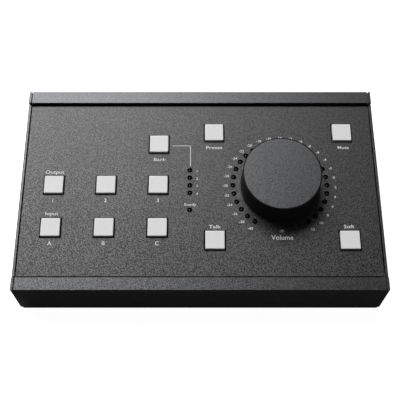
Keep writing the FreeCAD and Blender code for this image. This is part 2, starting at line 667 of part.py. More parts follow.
def make_key_cap(name, key_x, key_y):
    """Hollow square cap with a retaining flange and a boss for the switch's plunger."""
    body = new_body(f"key_cap_{name}")
    on_panel(body, key_x, key_y)
    block = new_sketch(body, f"cap_{name}_block", "XY_Plane", FLANGE_BOTTOM)
    draw_rectangle(block, "0", "0", "Size.key_size", "Size.key_size")
    pad(body, block, f"Size.key_proud - {FLANGE_BOTTOM}")
    finish_edges(body, "Chamfer", "Size.key_corner", upright)
    finish_edges(body, "Chamfer", "Size.key_edge", level_at("Size.key_proud"))
    flange = new_sketch(body, f"cap_{name}_flange", "XY_Plane", FLANGE_BOTTOM)
    draw_rectangle(flange, "0", "0", "Size.key_flange", "Size.key_flange")
    pad(body, flange, "Size.flange_thick")
    hollow = new_sketch(body, f"cap_{name}_hollow", "XY_Plane", FLANGE_BOTTOM)
    hollow_size = "Size.key_size - 2*Size.key_wall"
    draw_rectangle(hollow, "0", "0", hollow_size, hollow_size)
    pocket(body, hollow, f"{KEY_ROOF} - {FLANGE_BOTTOM}", forwards=True)
    boss = new_sketch(body, f"cap_{name}_boss", "XY_Plane", BOSS_BOTTOM)
    bore_size = "Size.plunger_size + 2*Size.plunger_fit"
    boss_size = f"{bore_size} + 2*Size.boss_wall"
    draw_rectangle(boss, "0", "0", boss_size, boss_size)
    draw_rectangle(boss, "0", "0", bore_size, bore_size)
    pad(body, boss, f"{KEY_ROOF} - {BOSS_BOTTOM}")
    return body


def make_key_plunger(name, key_x, key_y):
    """Square plunger: its collar stays in the switch, its upper end sits in the cap's boss."""
    body = new_body(f"key_plunger_{name}")
    on_panel(body, key_x, key_y)
    stem = new_sketch(body, f"plunger_{name}_stem", "XY_Plane", COLLAR_BOTTOM)
    draw_rectangle(stem, "0", "0", "Size.plunger_size", "Size.plunger_size")
    pad(body, stem, f"{KEY_ROOF} - {COLLAR_BOTTOM}")
    collar = new_sketch(body, f"plunger_{name}_collar", "XY_Plane", COLLAR_BOTTOM)
    draw_rectangle(collar, "0", "0", "Size.plunger_collar", "Size.plunger_collar")
    pad(body, collar, "Size.collar_thick")
    return body


for key_name, (key_x, key_y) in KEYS.items():
    make_key_cap(key_name, key_x, key_y)
    make_key_plunger(key_name, key_x, key_y)

key_switches = new_body("key_switches")
on_panel(key_switches)
switch_blocks = new_sketch(key_switches, "switch_blocks", "XY_Plane", BOARD_TOP)
switch_throats = new_sketch(key_switches, "switch_throats", "XY_Plane", SWITCH_TOP)
switch_chambers = new_sketch(key_switches, "switch_chambers", "XY_Plane",
                             f"{BOARD_TOP} + Size.switch_floor")
for key_x, key_y in KEYS.values():
    draw_rectangle(switch_blocks, key_x, key_y, "Size.switch_size", "Size.switch_size")
    throat_size = "Size.plunger_size + 2*Size.plunger_gap"
    draw_rectangle(switch_throats, key_x, key_y, throat_size, throat_size)
    chamber_size = "Size.plunger_collar + 2*Size.plunger_gap"
    draw_rectangle(switch_chambers, key_x, key_y, chamber_size, chamber_size)
pad(key_switches, switch_blocks, "Size.switch_height")
pocket(key_switches, switch_throats, "Size.switch_height - Size.switch_floor")
pocket(key_switches, switch_chambers, "Size.switch_height - Size.switch_floor - Size.switch_roof",
       forwards=True)


# ---------------------------------------------------------------- encoder and knob

ENCODER_TOP = "(-Size.panel_thick)"
SHAFT_BOTTOM = f"({ENCODER_TOP} - Size.shaft_foot)"
ENCODER_HOLLOW = "2*(Size.shaft_collar + Size.collar_gap)"

encoder_body = new_body("encoder_body")
on_panel(encoder_body, "Size.knob_x")
encoder_block = new_sketch(encoder_body, "encoder_block", "XY_Plane", BOARD_TOP)
draw_rectangle(encoder_block, "0", "0", "Size.encoder_width", "Size.encoder_depth")
pad(encoder_body, encoder_block, f"{ENCODER_TOP} - {BOARD_TOP}")
encoder_well = new_sketch(encoder_body, "encoder_well", "XY_Plane", ENCODER_TOP)
draw_rectangle(encoder_well, "0", "0", ENCODER_HOLLOW, ENCODER_HOLLOW)
pocket(encoder_body, encoder_well, "Size.shaft_foot + Size.collar_gap")

encoder_bush = turned_body("encoder_bush", [
    ("Size.shaft_radius + Size.shaft_fit", ENCODER_TOP),
    ("Size.bush_radius", ENCODER_TOP),
    ("Size.bush_radius", "Size.bush_top"),
    ("Size.shaft_radius + Size.shaft_fit", "Size.bush_top"),
])
on_panel(encoder_bush, "Size.knob_x")

encoder_shaft = turned_body("encoder_shaft", [
    ("0", SHAFT_BOTTOM),
    ("Size.shaft_collar", SHAFT_BOTTOM),
    ("Size.shaft_collar", f"{ENCODER_TOP} - Size.collar_gap"),
    ("Size.shaft_radius", f"{ENCODER_TOP} - Size.collar_gap"),
    ("Size.shaft_radius", "Size.shaft_top"),
    ("0", "Size.shaft_top"),
])
on_panel(encoder_shaft, "Size.knob_x")
shaft_flat = new_sketch(encoder_shaft, "shaft_flat", "XY_Plane", "Size.shaft_top")
draw_rectangle(shaft_flat, "2*Size.shaft_radius - Size.shaft_flat", "0", "2*Size.shaft_radius",
               "2*Size.shaft_radius")
pocket(encoder_shaft, shaft_flat, "Size.shaft_top - Size.shaft_flat_from")

encoder_nut = new_body("encoder_nut")
on_panel(encoder_nut, "Size.knob_x")
nut_outline = new_sketch(encoder_nut, "nut_outline")
draw_regular(nut_outline, "0", "0", "Size.nut_flats", 6)
draw_circle(nut_outline, "0", "0", "Size.bush_radius + Size.bush_hole_fit")
pad(encoder_nut, nut_outline, "Size.nut_thick")

KNOB_ROOF_TOP = "(Size.knob_top - Size.disc_sink - Size.disc_thick)"
KNOB_ROOF_UNDER = f"({KNOB_ROOF_TOP} - Size.knob_roof)"
DISC_RADIUS = "(Size.knob_top_radius - Size.knob_rim)"
COLLET_RADIUS = "(Size.shaft_radius + Size.shaft_fit + Size.collet_wall)"
rim_middle = value_of(f"({DISC_RADIUS} + Size.knob_top_radius)/2")
knob_body = turned_body("knob_body", [
    (f"{COLLET_RADIUS} + Size.disc_fit", "Size.hub_lift"),
    ("Size.hub_radius", "Size.hub_lift"),
    ("Size.hub_radius", KNOB_ROOF_UNDER),
    ("Size.knob_bore", KNOB_ROOF_UNDER),
    ("Size.knob_bore", "Size.knob_lift"),
    ("Size.knob_base_radius", "Size.knob_lift"),
    ("Size.knob_top_radius", "Size.knob_top"),
    (DISC_RADIUS, "Size.knob_top"),
    (DISC_RADIUS, KNOB_ROOF_TOP),
    (f"{COLLET_RADIUS} + Size.disc_fit", KNOB_ROOF_TOP),
])
on_panel(knob_body, "Size.knob_x")
finish_edges(knob_body, "Chamfer", "Size.knob_rim_edge",
             lambda a, b: level_at("Size.knob_top")(a, b) and a.x**2 + a.y**2 > rim_middle**2)

knob_disc = turned_body("knob_disc", [
    ("0", KNOB_ROOF_TOP),
    (f"{DISC_RADIUS} - Size.disc_fit", KNOB_ROOF_TOP),
    (f"{DISC_RADIUS} - Size.disc_fit", "Size.knob_top - Size.disc_sink"),
    ("0", "Size.knob_top - Size.disc_sink"),
])
on_panel(knob_disc, "Size.knob_x")

knob_collet = new_body("knob_collet")
on_panel(knob_collet, "Size.knob_x")
collet_ring = new_sketch(knob_collet, "collet_ring", "XY_Plane", "Size.hub_lift")
draw_circle(collet_ring, "0", "0", COLLET_RADIUS)
pad(knob_collet, collet_ring, f"{KNOB_ROOF_TOP} - Size.hub_lift")
collet_bore = new_sketch(knob_collet, "collet_bore", "XY_Plane", "Size.hub_lift")
draw_circle(collet_bore, "0", "0", "Size.shaft_radius + Size.shaft_fit")
pocket(knob_collet, collet_bore, "Size.shaft_top - Size.hub_lift + Size.collar_gap", forwards=True)
collet_key = new_sketch(knob_collet, "collet_key", "XY_Plane", "Size.shaft_flat_from + Size.collar_gap")
key_inner = "Size.shaft_radius - Size.shaft_flat + Size.shaft_fit"
key_outer = "Size.shaft_radius + Size.collet_wall/2"
key_half = "Size.shaft_radius/2"
draw_polygon(collet_key, [(key_inner, f"-{key_half}"), (key_outer, f"-{key_half}"),
                          (key_outer, key_half), (key_inner, key_half)])
pad(knob_collet, collet_key, "Size.shaft_top - Size.shaft_flat_from")


# ---------------------------------------------------------------- lights

GUIDE_TOP = "(-Size.panel_thick)"
GUIDE_BOTTOM = f"({GUIDE_TOP} - Size.guide_thick)"
LED_TOP = f"({BOARD_TOP} + Size.led_height)"
LEG_BOTTOM = f"({LED_TOP} + Size.leg_gap)"


def add_pins_and_legs(body, label, centres, right="0"):
    """Round pins up into the panel's holes and square legs down to the light sources."""
    pins = new_sketch(body, label + "_pins", "XY_Plane", GUIDE_BOTTOM, right)
    legs = new_sketch(body, label + "_legs", "XY_Plane", LEG_BOTTOM, right)
    for x, y in centres:
        draw_regular(pins, x, y, "Size.light_pin", 8)
        draw_rectangle(legs, x, y, "Size.leg_width", "Size.leg_width")
    return [pad(body, pins, f"-Size.light_sink - {GUIDE_BOTTOM}"),
            pad(body, legs, f"{GUIDE_BOTTOM} - {LEG_BOTTOM} + Size.guide_thick/2")]


ring_light_guide = new_body("ring_light_guide")
on_panel(ring_light_guide)
arc_section = new_sketch(ring_light_guide, "arc_section", "YZ_Plane", "Size.knob_x")
draw_polygon(arc_section, [
    ("Size.light_ring_radius - Size.guide_width/2", GUIDE_BOTTOM),
    ("Size.light_ring_radius + Size.guide_width/2", GUIDE_BOTTOM),
    ("Size.light_ring_radius + Size.guide_width/2", GUIDE_TOP),
    ("Size.light_ring_radius - Size.guide_width/2", GUIDE_TOP),
])
arc_strip = ring_light_guide.newObject("PartDesign::Revolution", "arc_strip")
arc_strip.Profile = arc_section
arc_strip.ReferenceAxis = (arc_section, ["V_Axis"])
arc_strip.Midplane = True
arc_strip.setExpression("Angle", f"{LIGHT_SWEEP} + Size.light_angle")
first_pin_and_leg = add_pins_and_legs(ring_light_guide, "ring", [FIRST_LIGHT_XY], "Size.knob_x")
light_pattern(ring_light_guide, first_pin_and_leg, first_pin_and_leg[0].Profile[0])

column_light_guide = new_body("column_light_guide")
on_panel(column_light_guide)
column_strip = new_sketch(column_light_guide, "column_strip", "XY_Plane", GUIDE_BOTTOM)
COLUMN_LENGTH = "(Size.column_count - 1)*Size.column_pitch"
draw_rectangle(column_strip, COLUMN_X, f"Size.column_top_y - {COLUMN_LENGTH}/2",
               "Size.guide_width", f"{COLUMN_LENGTH} + Size.guide_width")
pad(column_light_guide, column_strip, "Size.guide_thick")
add_pins_and_legs(column_light_guide, "column", COLUMN_LIGHTS)

status_light_guide = new_body("status_light_guide")
on_panel(status_light_guide)
status_strip = new_sketch(status_light_guide, "status_strip", "XY_Plane", GUIDE_BOTTOM)
draw_rectangle(status_strip, COLUMN_X, "Size.status_y", "Size.guide_width", "Size.guide_width")
pad(status_light_guide, status_strip, "Size.guide_thick")
add_pins_and_legs(status_light_guide, "status", STATUS_LIGHT)

indicator_leds = new_body("indicator_leds")
on_panel(indicator_leds)
level_led = new_sketch(indicator_leds, "level_led", "XY_Plane", BOARD_TOP, "Size.knob_x")
draw_rectangle(level_led, *FIRST_LIGHT_XY, "Size.led_length", "Size.led_width")
light_pattern(indicator_leds, [pad(indicator_leds, level_led, "Size.led_height")], level_led)
other_leds = new_sketch(indicator_leds, "other_leds", "XY_Plane", BOARD_TOP)
for x, y in COLUMN_LIGHTS + STATUS_LIGHT:
    draw_rectangle(other_leds, x, y, "Size.led_length", "Size.led_width")
pad(indicator_leds, other_leds, "Size.led_height")


# ---------------------------------------------------------------- board, pillars and board screws

BOARD_HALF_WIDTH = f"({INNER_HALF_WIDTH} - Size.board_side_gap)"
BOARD_FRONT = f"({FRONT_EDGE} + Size.rail_wall + Size.board_end_gap)"
BOARD_REAR = f"({REAR_EDGE} - Size.rail_wall - Size.board_end_gap)"
PILLARS = [(f"({hand})*({BOARD_HALF_WIDTH} - Size.pillar_inset_x)", y) for hand in (-1, 1)
           for y in (f"({BOARD_FRONT} + Size.pillar_inset_y)", f"({BOARD_REAR} - Size.pillar_inset_y)")]

board_pillars = new_body("board_pillars")
on_panel(board_pillars)
pillar_outlines = new_sketch(board_pillars, "pillar_outlines", "XY_Plane", BOARD_TOP)
pillar_bores = new_sketch(board_pillars, "pillar_bores", "XY_Plane", BOARD_TOP)
for x, y in PILLARS:
    draw_regular(pillar_outlines, x, y, "Size.pillar_flats", 6)
    draw_regular(pillar_bores, x, y, "2*(Size.screw_radius + Size.screw_fit)", SCREW_SIDES)
pad(board_pillars, pillar_outlines, f"-Size.panel_thick - {BOARD_TOP}")
pocket(board_pillars, pillar_bores, "Size.pillar_bore_depth", forwards=True)

main_board = new_body("main_board")
on_panel(main_board)
board_outline = new_sketch(main_board, "board_outline", "XY_Plane", BOARD_TOP)
draw_polygon(board_outline, [(f"-{BOARD_HALF_WIDTH}", BOARD_FRONT), (BOARD_HALF_WIDTH, BOARD_FRONT),
                             (BOARD_HALF_WIDTH, BOARD_REAR), (f"-{BOARD_HALF_WIDTH}", BOARD_REAR)])
for x, y in PILLARS:
    draw_regular(board_outline, x, y, "2*(Size.screw_radius + 2*Size.screw_fit)", SCREW_SIDES)
pad(main_board, board_outline, "Size.board_thick", backwards=True)

board_screws = new_body("board_screws")
on_panel(board_screws)
screw_heads = new_sketch(board_screws, "screw_heads", "XY_Plane", JACK_TOP)
screw_shanks = new_sketch(board_screws, "screw_shanks", "XY_Plane", JACK_TOP)
for x, y in PILLARS:
    draw_regular(screw_heads, x, y, "Size.board_screw_flats", 6)
    draw_regular(screw_shanks, x, y, f"2*Size.screw_radius*{ON_CIRCLE}", SCREW_SIDES)
pad(board_screws, screw_heads, "Size.board_screw_head", backwards=True)
pad(board_screws, screw_shanks, "Size.board_screw_length")

controller_chip = new_body("controller_chip")
on_panel(controller_chip, COLUMNS[1], "Size.chip_y")
chip_outline = new_sketch(controller_chip, "chip_outline", "XY_Plane", BOARD_TOP)
draw_rectangle(chip_outline, "0", "0", "Size.chip_size", "Size.chip_size")
pad(controller_chip, chip_outline, "Size.chip_height")


# ---------------------------------------------------------------- rear socket

MOUTH_TOP = f"({JACK_TOP} - Size.plug_roof)"
MOUTH_BOTTOM = f"({MOUTH_TOP} - Size.plug_height)"
link_socket = new_body("link_socket")
on_panel(link_socket, "Size.jack_x", JACK_FACE)
jack_front = new_sketch(link_socket, "jack_front", "XZ_Plane")
draw_rectangle(jack_front, "0", f"({JACK_TOP} + {JACK_BOTTOM})/2", "Size.jack_width",
               "Size.jack_height")
pad(link_socket, jack_front, "Size.jack_length")
mouth = new_sketch(link_socket, "mouth", "XZ_Plane")
draw_polygon(mouth, [
    ("-Size.plug_width/2", MOUTH_BOTTOM),
    ("-Size.latch_width/2", MOUTH_BOTTOM),
    ("-Size.latch_width/2", f"{MOUTH_BOTTOM} - Size.latch_height"),
    ("Size.latch_width/2", f"{MOUTH_BOTTOM} - Size.latch_height"),
    ("Size.latch_width/2", MOUTH_BOTTOM),
    ("Size.plug_width/2", MOUTH_BOTTOM),
    ("Size.plug_width/2", MOUTH_TOP),
    ("-Size.plug_width/2", MOUTH_TOP),
])
pocket(link_socket, mouth, "Size.plug_depth", forwards=True)

socket_contacts = new_body("socket_contacts")
on_panel(socket_contacts, "Size.jack_x", JACK_FACE)
contact_rows = new_sketch(socket_contacts, "contact_rows", "XZ_Plane", "Size.contact_set_back")
contact_count = int(value_of("Size.contact_count"))
for contact in range(contact_count):
    draw_rectangle(contact_rows, f"({contact} - (Size.contact_count - 1)/2)*Size.contact_pitch",
                   f"{MOUTH_TOP} - Size.contact_height/2", "Size.contact_width",
                   "Size.contact_height")
pad(socket_contacts, contact_rows, "Size.contact_length")


# ---------------------------------------------------------------- checks and export

doc.recompute()
for thing in doc.Objects:
    if "Invalid" in thing.State or "Error" in thing.State:
        raise RuntimeError(f"{thing.Name} failed: {thing.State}")

nodes = [thing for thing in doc.Objects if thing.TypeId == "PartDesign::Body"]
os.makedirs("parts", exist_ok=True)
for node in nodes:
    shape = node.Shape
    if shape.isNull() or not shape.isValid() or not shape.Solids:
        raise RuntimeError(f"{node.Label} has no valid solid")
for node in nodes:
    node.Shape.exportStep(os.path.join("parts", node.Label + ".step"))
print(f"{len(nodes)} sub-parts, {sum(len(node.Shape.Solids) for node in nodes)} solids")
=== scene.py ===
"""Studio monitor controller: surface finishes, printing and fine forms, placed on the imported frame."""

import math

import bpy
import numpy as np
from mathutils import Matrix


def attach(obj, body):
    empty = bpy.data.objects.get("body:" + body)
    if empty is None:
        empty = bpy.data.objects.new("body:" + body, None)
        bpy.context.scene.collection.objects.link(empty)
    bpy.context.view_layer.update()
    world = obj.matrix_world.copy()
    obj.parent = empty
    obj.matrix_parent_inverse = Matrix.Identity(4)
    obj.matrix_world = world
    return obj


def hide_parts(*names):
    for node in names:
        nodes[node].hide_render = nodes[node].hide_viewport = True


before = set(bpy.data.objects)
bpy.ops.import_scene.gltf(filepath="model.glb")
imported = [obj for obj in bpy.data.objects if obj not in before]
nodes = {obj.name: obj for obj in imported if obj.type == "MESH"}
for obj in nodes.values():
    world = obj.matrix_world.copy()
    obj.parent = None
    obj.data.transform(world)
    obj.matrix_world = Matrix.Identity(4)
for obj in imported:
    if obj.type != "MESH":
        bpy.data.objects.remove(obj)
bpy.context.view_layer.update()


# ---------------------------------------------------------------- rails and end plates
# Two extruded aluminium rails and the two plates screwed over their ends make the case.
# All four are glass-bead blasted and anodised dark grey, which leaves a fine satin grain. The
# plates are tumbled first, which softens their edges.


def new_material(name, colour, roughness, metallic=0.0, specular=0.5):
    """A material with one Principled shader and its output; returns the material and the shader."""
    material = bpy.data.materials.new(name)
    material.use_nodes = True
    shader = material.node_tree.nodes["Principled BSDF"]
    shader.inputs["Base Color"].default_value = (*colour, 1.0)
    shader.inputs["Roughness"].default_value = roughness
    shader.inputs["Metallic"].default_value = metallic
    shader.inputs["Specular IOR Level"].default_value = specular
    return material, shader


def new_group(name, inputs, outputs):
    """A shader node group: inputs are (name, default) numbers, outputs are (name, socket type)."""
    group = bpy.data.node_groups.new(name, "ShaderNodeTree")
    for label, default in inputs:
        socket = group.interface.new_socket(name=label, in_out="INPUT", socket_type="NodeSocketFloat")
        socket.default_value = default
    for label, kind in outputs:
        group.interface.new_socket(name=label, in_out="OUTPUT", socket_type=kind)
    return group, group.nodes.new("NodeGroupInput"), group.nodes.new("NodeGroupOutput")


def place_group(material, group, **values):
    """Puts a node group into a material with its own values; an underscore stands for a space."""
    node = material.node_tree.nodes.new("ShaderNodeGroup")
    node.node_tree = group
    for label, value in values.items():
        node.inputs[label.replace("_", " ")].default_value = value
    return node


def maths(tree, operation, first, second):
    """One Math node; each operand is a number or a socket."""
    node = tree.nodes.new("ShaderNodeMath")
    node.operation = operation
    for slot, operand in zip(node.inputs, (first, second)):
        if isinstance(operand, bpy.types.NodeSocket):
            tree.links.new(operand, slot)
        else:
            slot.default_value = operand
    return node.outputs[0]


def noise(tree, coordinates, waves, detail):
    """One Noise Texture on the given coordinates; waves is a socket with the waves per metre."""
    node = tree.nodes.new("ShaderNodeTexNoise")
    node.inputs["Detail"].default_value = detail
    tree.links.new(coordinates, node.inputs["Vector"])
    tree.links.new(waves, node.inputs["Scale"])
    return node.outputs["Fac"]


def spread(tree, value, low, high):
    """Stretches a value so that low becomes 0 and high becomes 1, and holds it between them."""
    node = tree.nodes.new("ShaderNodeMapRange")
    node.inputs["From Min"].default_value = low
    node.inputs["From Max"].default_value = high
    tree.links.new(value, node.inputs["Value"])
    return node.outputs["Result"]


def mix_colours(tree, factor, first, second):
    """One colour Mix node: first at factor 0, second at factor 1; colours are tuples or sockets."""
    node = tree.nodes.new("ShaderNodeMix")
    node.data_type = "RGBA"
    tree.links.new(factor, node.inputs["Factor"])
    for slot, colour in ((node.inputs[6], first), (node.inputs[7], second)):
        if isinstance(colour, bpy.types.NodeSocket):
            tree.links.new(colour, slot)
        else:
            slot.default_value = (*colour, 1.0)
    return node.outputs[2]


# Grain: a noise of grain size is the height, and its sum with one of about a third of that size
# is sharpened into a speckle from 0 to 1, which fades toward one half from the front of the case
# to the rear; patches are a slow noise for uneven gloss. The place is turned first, so that no flat
# face lies along the noise's lattice, where its contrast is lost.
GRAIN_TURN = (0.6, 0.9, 0.4)
COARSE_SHARE, FINE_WAVES = 0.62, 2.9
SPECKLE_LOW, SPECKLE_HIGH = 0.44, 0.56
REAR_SPECKLE, FADE_REAR, FADE_FRONT = 0.4, 0.055, -0.065
PATCH_LOW, PATCH_HIGH = 0.3, 0.7
surface_grain, grain_in, grain_out = new_group(
    "surface_grain",
    [("Grain Size", 0.0006), ("Patch Size", 0.03)],
    [("Speckle", "NodeSocketFloat"), ("Height", "NodeSocketFloat"), ("Patches", "NodeSocketFloat")])
grain_turn = surface_grain.nodes.new("ShaderNodeVectorRotate")
grain_turn.rotation_type = "EULER_XYZ"
grain_turn.inputs["Rotation"].default_value = GRAIN_TURN
object_place = surface_grain.nodes.new("ShaderNodeTexCoord").outputs["Object"]
surface_grain.links.new(object_place, grain_turn.inputs["Vector"])
grain_place = grain_turn.outputs["Vector"]
grain_waves = maths(surface_grain, "DIVIDE", 1.0, grain_in.outputs["Grain Size"])
coarse_grain = noise(surface_grain, grain_place, grain_waves, detail=1.0)
fine_waves = maths(surface_grain, "MULTIPLY", grain_waves, FINE_WAVES)
fine_grain = noise(surface_grain, grain_place, fine_waves, detail=1.0)
grain_sum = maths(surface_grain, "ADD", maths(surface_grain, "MULTIPLY", coarse_grain, COARSE_SHARE),
                  maths(surface_grain, "MULTIPLY", fine_grain, 1.0 - COARSE_SHARE))
sharp_grain = spread(surface_grain, grain_sum, SPECKLE_LOW, SPECKLE_HIGH)
grain_axes = surface_grain.nodes.new("ShaderNodeSeparateXYZ")
surface_grain.links.new(object_place, grain_axes.inputs["Vector"])
toward_front = spread(surface_grain, grain_axes.outputs["Y"], FADE_REAR, FADE_FRONT)
fading = maths(surface_grain, "ADD", REAR_SPECKLE,
               maths(surface_grain, "MULTIPLY", toward_front, 1.0 - REAR_SPECKLE))
faded_grain = maths(surface_grain, "MULTIPLY", maths(surface_grain, "SUBTRACT", sharp_grain, 0.5), fading)
surface_grain.links.new(maths(surface_grain, "ADD", faded_grain, 0.5), grain_out.inputs["Speckle"])
surface_grain.links.new(coarse_grain, grain_out.inputs["Height"])
patch_waves = maths(surface_grain, "DIVIDE", 1.0, grain_in.outputs["Patch Size"])
slow_noise = noise(surface_grain, grain_place, patch_waves, detail=3.0)
surface_grain.links.new(spread(surface_grain, slow_noise, PATCH_LOW, PATCH_HIGH),
                        grain_out.inputs["Patches"])


def grained_material(name, dark, light, roughness, grain_size, relief, patch_size=0.03,
                     roughness_swing=0.06, specular=0.5, metallic=0.0, edge=0.0):
    """Colour runs from dark to light with the speckle; roughness swings with the patches, and
    relief is the height of the grain in metres. Edge rounds the sharp edges' shading by that radius."""
    material, shader = new_material(name, dark, roughness, metallic, specular)
    tree = material.node_tree
    grain = place_group(material, surface_grain, Grain_Size=grain_size, Patch_Size=patch_size)
    tree.links.new(mix_colours(tree, grain.outputs["Speckle"], dark, light), shader.inputs["Base Color"])
    swing = maths(tree, "MULTIPLY", maths(tree, "SUBTRACT", grain.outputs["Patches"], 0.5),
                  roughness_swing)
    tree.links.new(maths(tree, "ADD", swing, roughness), shader.inputs["Roughness"])
    bump = tree.nodes.new("ShaderNodeBump")
    bump.inputs["Distance"].default_value = relief
    tree.links.new(grain.outputs["Height"], bump.inputs["Height"])
    if edge:
        rounding = tree.nodes.new("ShaderNodeBevel")
        rounding.samples = 4
        rounding.inputs["Radius"].default_value = edge
        tree.links.new(rounding.outputs["Normal"], bump.inputs["Normal"])
    tree.links.new(bump.outputs["Normal"], shader.inputs["Normal"])
    return material


def dress(material, *names):
    """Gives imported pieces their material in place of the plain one."""
    for name in names:
        slots = nodes[name].data.materials
        slots.clear()
        slots.append(material)


ANODISED = ((0.0326, 0.033, 0.0337), (0.1108, 0.112, 0.1148))
satin_anodised = grained_material("satin_grey_anodised", *ANODISED, roughness=0.375, grain_size=0.0006,
                                  relief=0.00003, patch_size=0.05, roughness_swing=0.02,
                                  specular=0.6, metallic=0.9, edge=0.00008)
dress(satin_anodised, "front_rail", "rear_rail")
tumbled_anodised = grained_material("tumbled_grey_anodised", *ANODISED, roughness=0.375,
                                    grain_size=0.0006, relief=0.00003, patch_size=0.05,
                                    roughness_swing=0.02, specular=0.6, metallic=0.9, edge=0.0003)
dress(tumbled_anodised, "left_end_plate", "right_end_plate")


# ---------------------------------------------------------------- screws
# Eight blackened countersunk screws hold the end plates to the rails' ports.
# Four zinc plated hexagon-headed screws hold the circuit board to its pillars.

blackened_steel = grained_material("blackened_steel", (0.018, 0.018, 0.019), (0.035, 0.035, 0.036),
                                   roughness=0.38, grain_size=0.0002, relief=0.000004,
                                   patch_size=0.002, roughness_swing=0.15, metallic=0.6)
dress(blackened_steel, "end_plate_screws")
zinc_plate = grained_material("zinc_plate", (0.60, 0.60, 0.60), (0.74, 0.74, 0.75),
                              roughness=0.32, grain_size=0.0003, relief=0.000003,
                              patch_size=0.003, roughness_swing=0.2, metallic=1.0)
dress(zinc_plate, "board_screws")


# ---------------------------------------------------------------- base pan and feet
# The base pan is a folded steel sheet, painted matt black, that slides into the rails' grooves.
# Four moulded rubber feet are stuck under it.

matt_black_paint = grained_material("matt_black_paint", (0.010, 0.010, 0.0105), (0.018, 0.018, 0.019),
                                    roughness=0.62, grain_size=0.0004, relief=0.00002, edge=0.0003)
dress(matt_black_paint, "base_pan")
foot_rubber = grained_material("foot_rubber", (0.008, 0.008, 0.008), (0.016, 0.016, 0.016),
                               roughness=0.8, grain_size=0.0008, relief=0.00003, specular=0.3)
dress(foot_rubber, "rubber_feet")


# ---------------------------------------------------------------- top panel
# A 1.5 mm steel sheet with punched square openings and drilled light holes, finished in a
# textured dark grey powder coat whose coarse, slightly shiny orange peel reads as speckle.

powder_coat = grained_material("textured_powder_coat", (0.001, 0.001, 0.001), (0.083, 0.083, 0.0837),
                               roughness=0.42, grain_size=0.0007, relief=0.00011, patch_size=0.04,
                               roughness_swing=0.03, specular=0.85, metallic=0.7)
dress(powder_coat, "top_panel")


# ---------------------------------------------------------------- printing
# White screen-printed ink on the panel: a level scale round the knob, numbers and letters of
# the keys and lights, plain words, and the thin line from the bank key to its column of lights.

PANEL_TILT = math.radians(2.0)
PANEL_ORIGIN = np.array([0.0, 1.079441, 34.413310])
KNOB_X = 48.05
INK_THICKNESS, INK_LIFT = 0.04, 0.012
CAPITAL_SHARE, STROKE_GROWTH, LETTER_STEPS = 0.682, 0.013, 3


def on_panel(points):
    """Panel places in millimetres, as x, y up the slope and height above it, turned by the panel's
    tilt about x, moved to the panel's middle, and made metres in the frame."""
    x, y, height = np.moveaxis(np.asarray(points, float), -1, 0)
    turned = np.stack([x, y * math.cos(PANEL_TILT) - height * math.sin(PANEL_TILT),
                       y * math.sin(PANEL_TILT) + height * math.cos(PANEL_TILT)], -1)
    return (turned + PANEL_ORIGIN) * 0.001


def new_piece(name, points, faces, body, material, smooth_angle=None, under=None):
    """One mesh piece from a table of points and a list of faces, riding on a body of the frame.
    Under is a second material and a row of True for each face that has it."""
    mesh = bpy.data.meshes.new(name)
    mesh.from_pydata(points, [], faces)
    mesh.update()
    if smooth_angle is not None:
        mesh.shade_smooth()
        mesh.set_sharp_from_angle(angle=math.radians(smooth_angle))
    mesh.materials.append(material)
    if under is not None:
        mesh.materials.append(under[0])
        mesh.polygons.foreach_set("material_index", under[1].astype(np.int32))
    piece = bpy.data.objects.new(name, mesh)
    bpy.context.scene.collection.objects.link(piece)
    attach(piece, body)
    return piece


def printed(name, marks):
    """Adds one piece of ink. Each mark is (words, x, y, height of a capital, width factor), centred
    there: the letters are filled outlines, grown by a share of their height, given the ink's
    thickness, widened and laid on the panel."""
    all_points, all_faces, count = [], [], 0
    for words, x, y, height, widen in marks:
        curve = bpy.data.curves.new("letters", "FONT")
        curve.body = words
        curve.align_x = "CENTER"
        curve.size = height / CAPITAL_SHARE
        curve.offset = STROKE_GROWTH * height
        curve.resolution_u = LETTER_STEPS
        curve.extrude = INK_THICKNESS / 2
        letters = bpy.data.objects.new("letters", curve)
        bpy.context.scene.collection.objects.link(letters)
        bpy.context.view_layer.update()
        shape = bpy.data.meshes.new_from_object(letters)
        flat = np.empty(len(shape.vertices) * 3)
        shape.vertices.foreach_get("co", flat)
        flat = flat.reshape(-1, 3) * (widen, 1.0, 1.0)
        flat += (x, y - height / 2, INK_LIFT + INK_THICKNESS / 2)
        corners = np.empty(len(shape.loops), int)
        shape.loops.foreach_get("vertex_index", corners)
        starts = np.empty(len(shape.polygons), int)
        shape.polygons.foreach_get("loop_start", starts)
        all_points.append(flat)
        all_faces += [part.tolist() for part in np.split(corners + count, starts[1:])]
        count += len(flat)
        bpy.data.objects.remove(letters)
        bpy.data.curves.remove(curve)
        bpy.data.meshes.remove(shape)
    new_piece(name, on_panel(np.concatenate(all_points)), all_faces, "housing", ink)


ink = grained_material("white_ink", (0.66, 0.66, 0.66), (0.84, 0.84, 0.84), roughness=0.55,
                       grain_size=0.0005, relief=0.00001)

SMALL_HEIGHT, SMALL_WIDEN = 1.5, 1.1
SCALE_X, SCALE_Y, SCALE_RADIUS, SCALE_TURN = KNOB_X + 0.24, -0.75, 33.03, math.radians(0.9)
LEVELS = [str(level) for level in range(-40, 14, 2)]
FIRST_LEVEL_ANGLE, LEVEL_STEP = 236.25, 11.25
level_angles = np.radians(FIRST_LEVEL_ANGLE - LEVEL_STEP * np.arange(len(LEVELS)))
printed("level_numbers", [
    (level, SCALE_X + SCALE_RADIUS * math.cos(angle), SCALE_Y + SCALE_RADIUS * math.sin(angle),
     SMALL_HEIGHT, SMALL_WIDEN)
    for level, angle in zip(LEVELS, level_angles - SCALE_TURN)])

